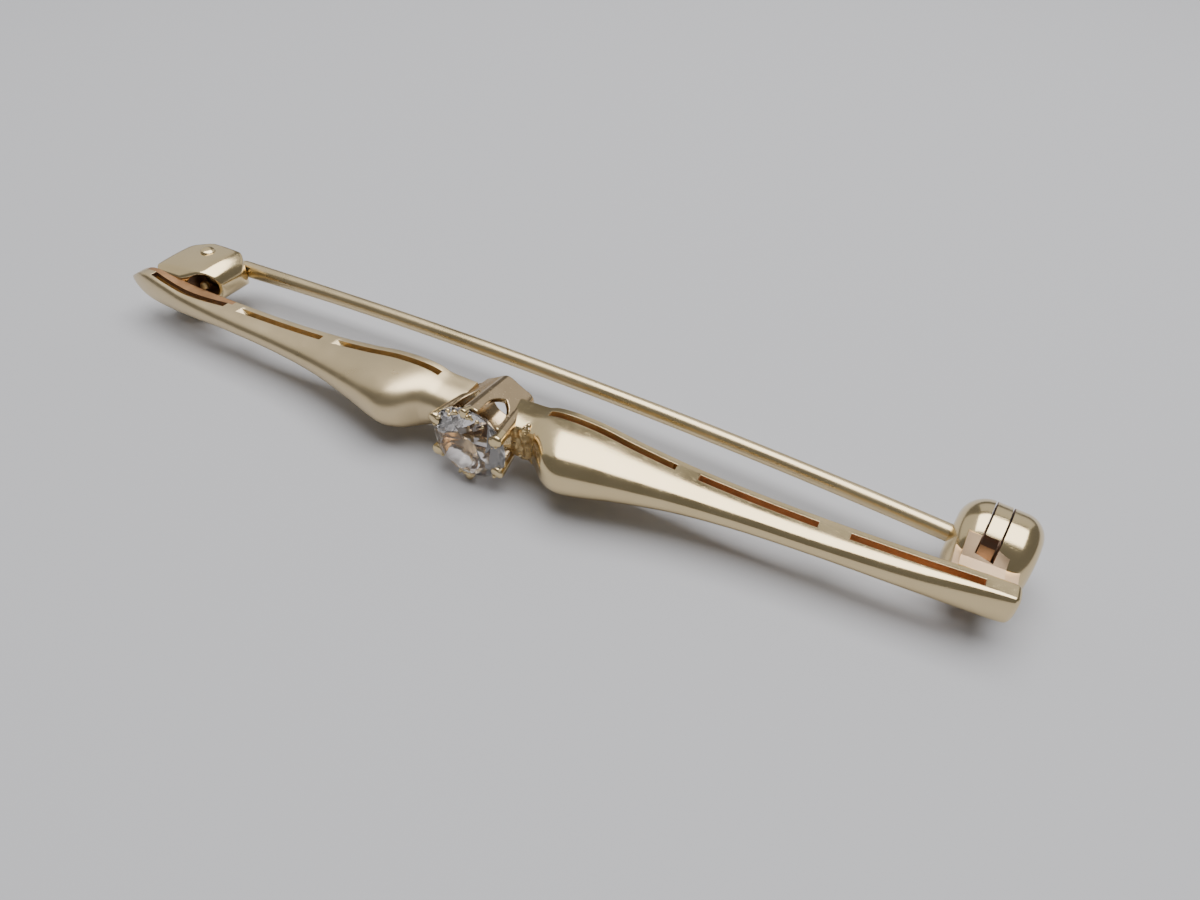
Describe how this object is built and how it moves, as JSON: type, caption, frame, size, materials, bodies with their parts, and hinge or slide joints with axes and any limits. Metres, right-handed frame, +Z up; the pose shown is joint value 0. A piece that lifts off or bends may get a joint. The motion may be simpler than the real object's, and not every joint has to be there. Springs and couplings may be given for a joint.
{
  "type": "bar brooch",
  "caption": "Slim gold bar brooch with a claw-set round faceted crystal between swellings, a hinged pin and a turning safety catch.",
  "frame": {"origin": "middle of the brooch's outer box, on the surface that it lies on", "axes": "+X along the bar from the hinge to the catch, -Y the way the stone faces, +Z up"},
  "size_m": [0.059, 0.0098, 0.0053],
  "materials": {
    "gold": "polished, lightly worn",
    "gold_wire": "polished wire",
    "crystal": "faceted, polished"
  },
  "bodies": {
    "brooch": {"gold_bar": "gold", "stone": "crystal", "hinge_rivet": "gold"},
    "pin": {"pin_stem": "gold_wire"},
    "ring": {"catch_ring": "gold"}
  },
  "joints": [
    {"name": "pin_hinge", "type": "hinge", "parent": "brooch", "child": "pin", "pos_m": [-0.02589, 0.0023, 0.0024], "axis": [0, 0, 1], "range_deg": [0, 50]},
    {"name": "ring_turn", "type": "hinge", "parent": "brooch", "child": "ring", "pos_m": [0.02731, 0.0024, 0.0024], "axis": [0.9943, -0.1067, 0], "range_deg": [0, 145]}
  ]
}
